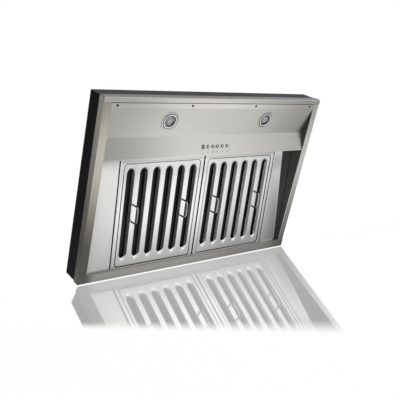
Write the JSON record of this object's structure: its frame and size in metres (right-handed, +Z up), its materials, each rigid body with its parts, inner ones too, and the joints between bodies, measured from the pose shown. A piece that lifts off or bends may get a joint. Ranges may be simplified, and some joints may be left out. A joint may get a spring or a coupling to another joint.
{
  "type": "range hood insert",
  "caption": "Built-in cooker hood insert: a dark sheet casing with a steel rim, folded lamp and control panel, baffle filters with handles, and a blower under a duct collar.",
  "frame": {"origin": "centre of the footprint on the lower face of the rim", "axes": "+Z up as installed, -Y towards the front edge that carries the lamps and controls, +X to the right of someone facing the front"},
  "size_m": [0.873, 0.575, 0.3051],
  "materials": {
    "dark_paint": "black semi-gloss powder coat",
    "brushed_rim": "brushed stainless, warm grey",
    "brushed_panel": "smooth satin stainless",
    "chrome": "polished",
    "frosted_lens": "frosted lens, dim",
    "cast_motor": "cast housing",
    "smoked_window": "dark smoked, glossy",
    "black_plastic": "moulded, matt",
    "bright_filter": "bright satin stainless",
    "galvanised": "galvanised sheet"
  },
  "bodies": {
    "casing": {"casing_front": "dark_paint", "casing_rear": "dark_paint", "casing_left": "dark_paint", "casing_right": "dark_paint", "casing_top": "dark_paint", "rim_front": "brushed_rim", "rim_rear": "brushed_rim", "rim_left": "brushed_rim", "rim_right": "brushed_rim", "front_panel": "brushed_panel", "panel_screw_1": "chrome", "panel_screw_2": "chrome", "panel_screw_3": "chrome", "panel_screw_4": "chrome", "lamp_left_trim": "chrome", "lamp_left_lens": "frosted_lens", "lamp_left_body": "cast_motor", "lamp_right_trim": "chrome", "lamp_right_lens": "frosted_lens", "lamp_right_body": "cast_motor", "display_window": "smoked_window", "switch_box": "black_plastic", "rear_ledge": "brushed_rim", "filter_rail": "brushed_panel", "side_panel_left": "brushed_panel", "side_panel_right": "brushed_panel", "scroll_wall": "galvanised", "scroll_left": "galvanised", "scroll_right": "galvanised", "motor": "cast_motor", "motor_bracket": "galvanised", "blower_box": "galvanised", "blower_box_end_left": "galvanised", "blower_box_end_right": "galvanised", "duct_collar": "galvanised", "damper_pin_front": "chrome", "damper_pin_rear": "chrome", "terminal_box": "galvanised", "terminal_lid": "galvanised", "cable_gland": "black_plastic"},
    "filter_left": {"filter_left_frame": "bright_filter", "filter_left_face": "bright_filter", "filter_left_baffle": "bright_filter", "filter_left_handle_outer": "chrome", "filter_left_handle_inner": "chrome"},
    "filter_right": {"filter_right_frame": "bright_filter", "filter_right_face": "bright_filter", "filter_right_baffle": "bright_filter", "filter_right_handle_outer": "chrome", "filter_right_handle_inner": "chrome"},
    "button_1": {"button_1": "chrome"},
    "button_2": {"button_2": "chrome"},
    "button_3": {"button_3": "chrome"},
    "button_4": {"button_4": "chrome"},
    "button_5": {"button_5": "chrome"},
    "impeller": {"impeller": "galvanised", "motor_shaft": "chrome"},
    "damper_front": {"damper_front": "galvanised"},
    "damper_rear": {"damper_rear": "galvanised"}
  },
  "joints": [
    {"name": "filter_left_slide", "type": "slide", "parent": "casing", "child": "filter_left", "axis": [0, -0.9955, 0.0951], "range_m": [0, 0.0185]},
    {"name": "filter_right_slide", "type": "slide", "parent": "casing", "child": "filter_right", "axis": [0, -0.9955, 0.0951], "range_m": [0, 0.0185]},
    {"name": "button_1_press", "type": "slide", "parent": "casing", "child": "button_1", "axis": [0, 0.3048, 0.9524], "range_m": [0, 0.0016], "stiffness_N_per_m": 400, "springref_m": -0.001},
    {"name": "button_2_press", "type": "slide", "parent": "casing", "child": "button_2", "axis": [0, 0.3048, 0.9524], "range_m": [0, 0.0016], "stiffness_N_per_m": 400, "springref_m": -0.001},
    {"name": "button_3_press", "type": "slide", "parent": "casing", "child": "button_3", "axis": [0, 0.3048, 0.9524], "range_m": [0, 0.0016], "stiffness_N_per_m": 400, "springref_m": -0.001},
    {"name": "button_4_press", "type": "slide", "parent": "casing", "child": "button_4", "axis": [0, 0.3048, 0.9524], "range_m": [0, 0.0016], "stiffness_N_per_m": 400, "springref_m": -0.001},
    {"name": "button_5_press", "type": "slide", "parent": "casing", "child": "button_5", "axis": [0, 0.3048, 0.9524], "range_m": [0, 0.0016], "stiffness_N_per_m": 400, "springref_m": -0.001},
    {"name": "impeller_spin", "type": "hinge", "parent": "casing", "child": "impeller", "pos_m": [0, -0.05, 0.17326], "axis": [1, 0, 0], "continuous": true},
    {"name": "damper_front_swing", "type": "hinge", "parent": "casing", "child": "damper_front", "pos_m": [0, 0.01014, 0.26786], "axis": [-1, 0, 0], "range_deg": [0, 78]},
    {"name": "damper_rear_swing", "type": "hinge", "parent": "casing", "child": "damper_rear", "pos_m": [0, 0.01814, 0.26786], "axis": [1, 0, 0], "range_deg": [0, 78]}
  ]
}
